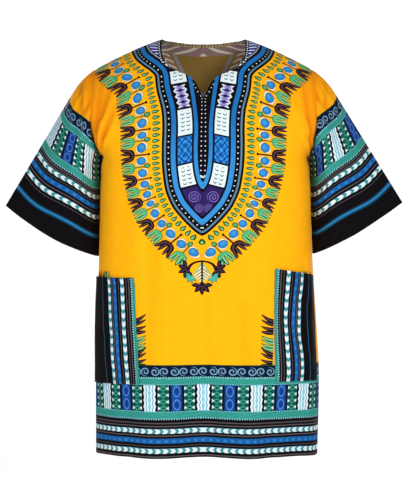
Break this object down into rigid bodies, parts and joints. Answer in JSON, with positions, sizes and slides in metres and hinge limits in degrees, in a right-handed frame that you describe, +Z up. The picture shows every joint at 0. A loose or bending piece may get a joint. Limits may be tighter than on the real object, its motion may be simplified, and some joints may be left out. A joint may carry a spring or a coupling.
{
  "type": "dashiki shirt",
  "caption": "Loose pullover shirt with short wide sleeves, a notched neckline and low patch pockets, in its hollow worn form.",
  "frame": {"origin": "midway between the shoulders at the base of the neck, level with the top of the shoulder seams, where the wearer's shoulders hold the shirt up", "axes": "+Z up, the front faces -Y, +X to the wearer's left as seen on the right of a front view"},
  "size_m": [0.725, 0.2743, 0.7492],
  "materials": {
    "body_cloth": "matte printed plain-weave cotton, warm yellow with blue, teal and black borders",
    "sleeve_cloth": "matte printed plain-weave cotton, border print of blue, teal, black and white over a yellow cap",
    "pocket_cloth": "matte printed plain-weave cotton, upright border stripes of blue, teal, black and white"
  },
  "bodies": {
    "root": {"front_panel": "body_cloth", "front_yoke": "body_cloth", "back_panel": "body_cloth", "back_yoke": "body_cloth", "sleeve_left": "sleeve_cloth", "sleeve_right": "sleeve_cloth", "pocket_left": "pocket_cloth", "pocket_right": "pocket_cloth"}
  },
  "joints": []
}
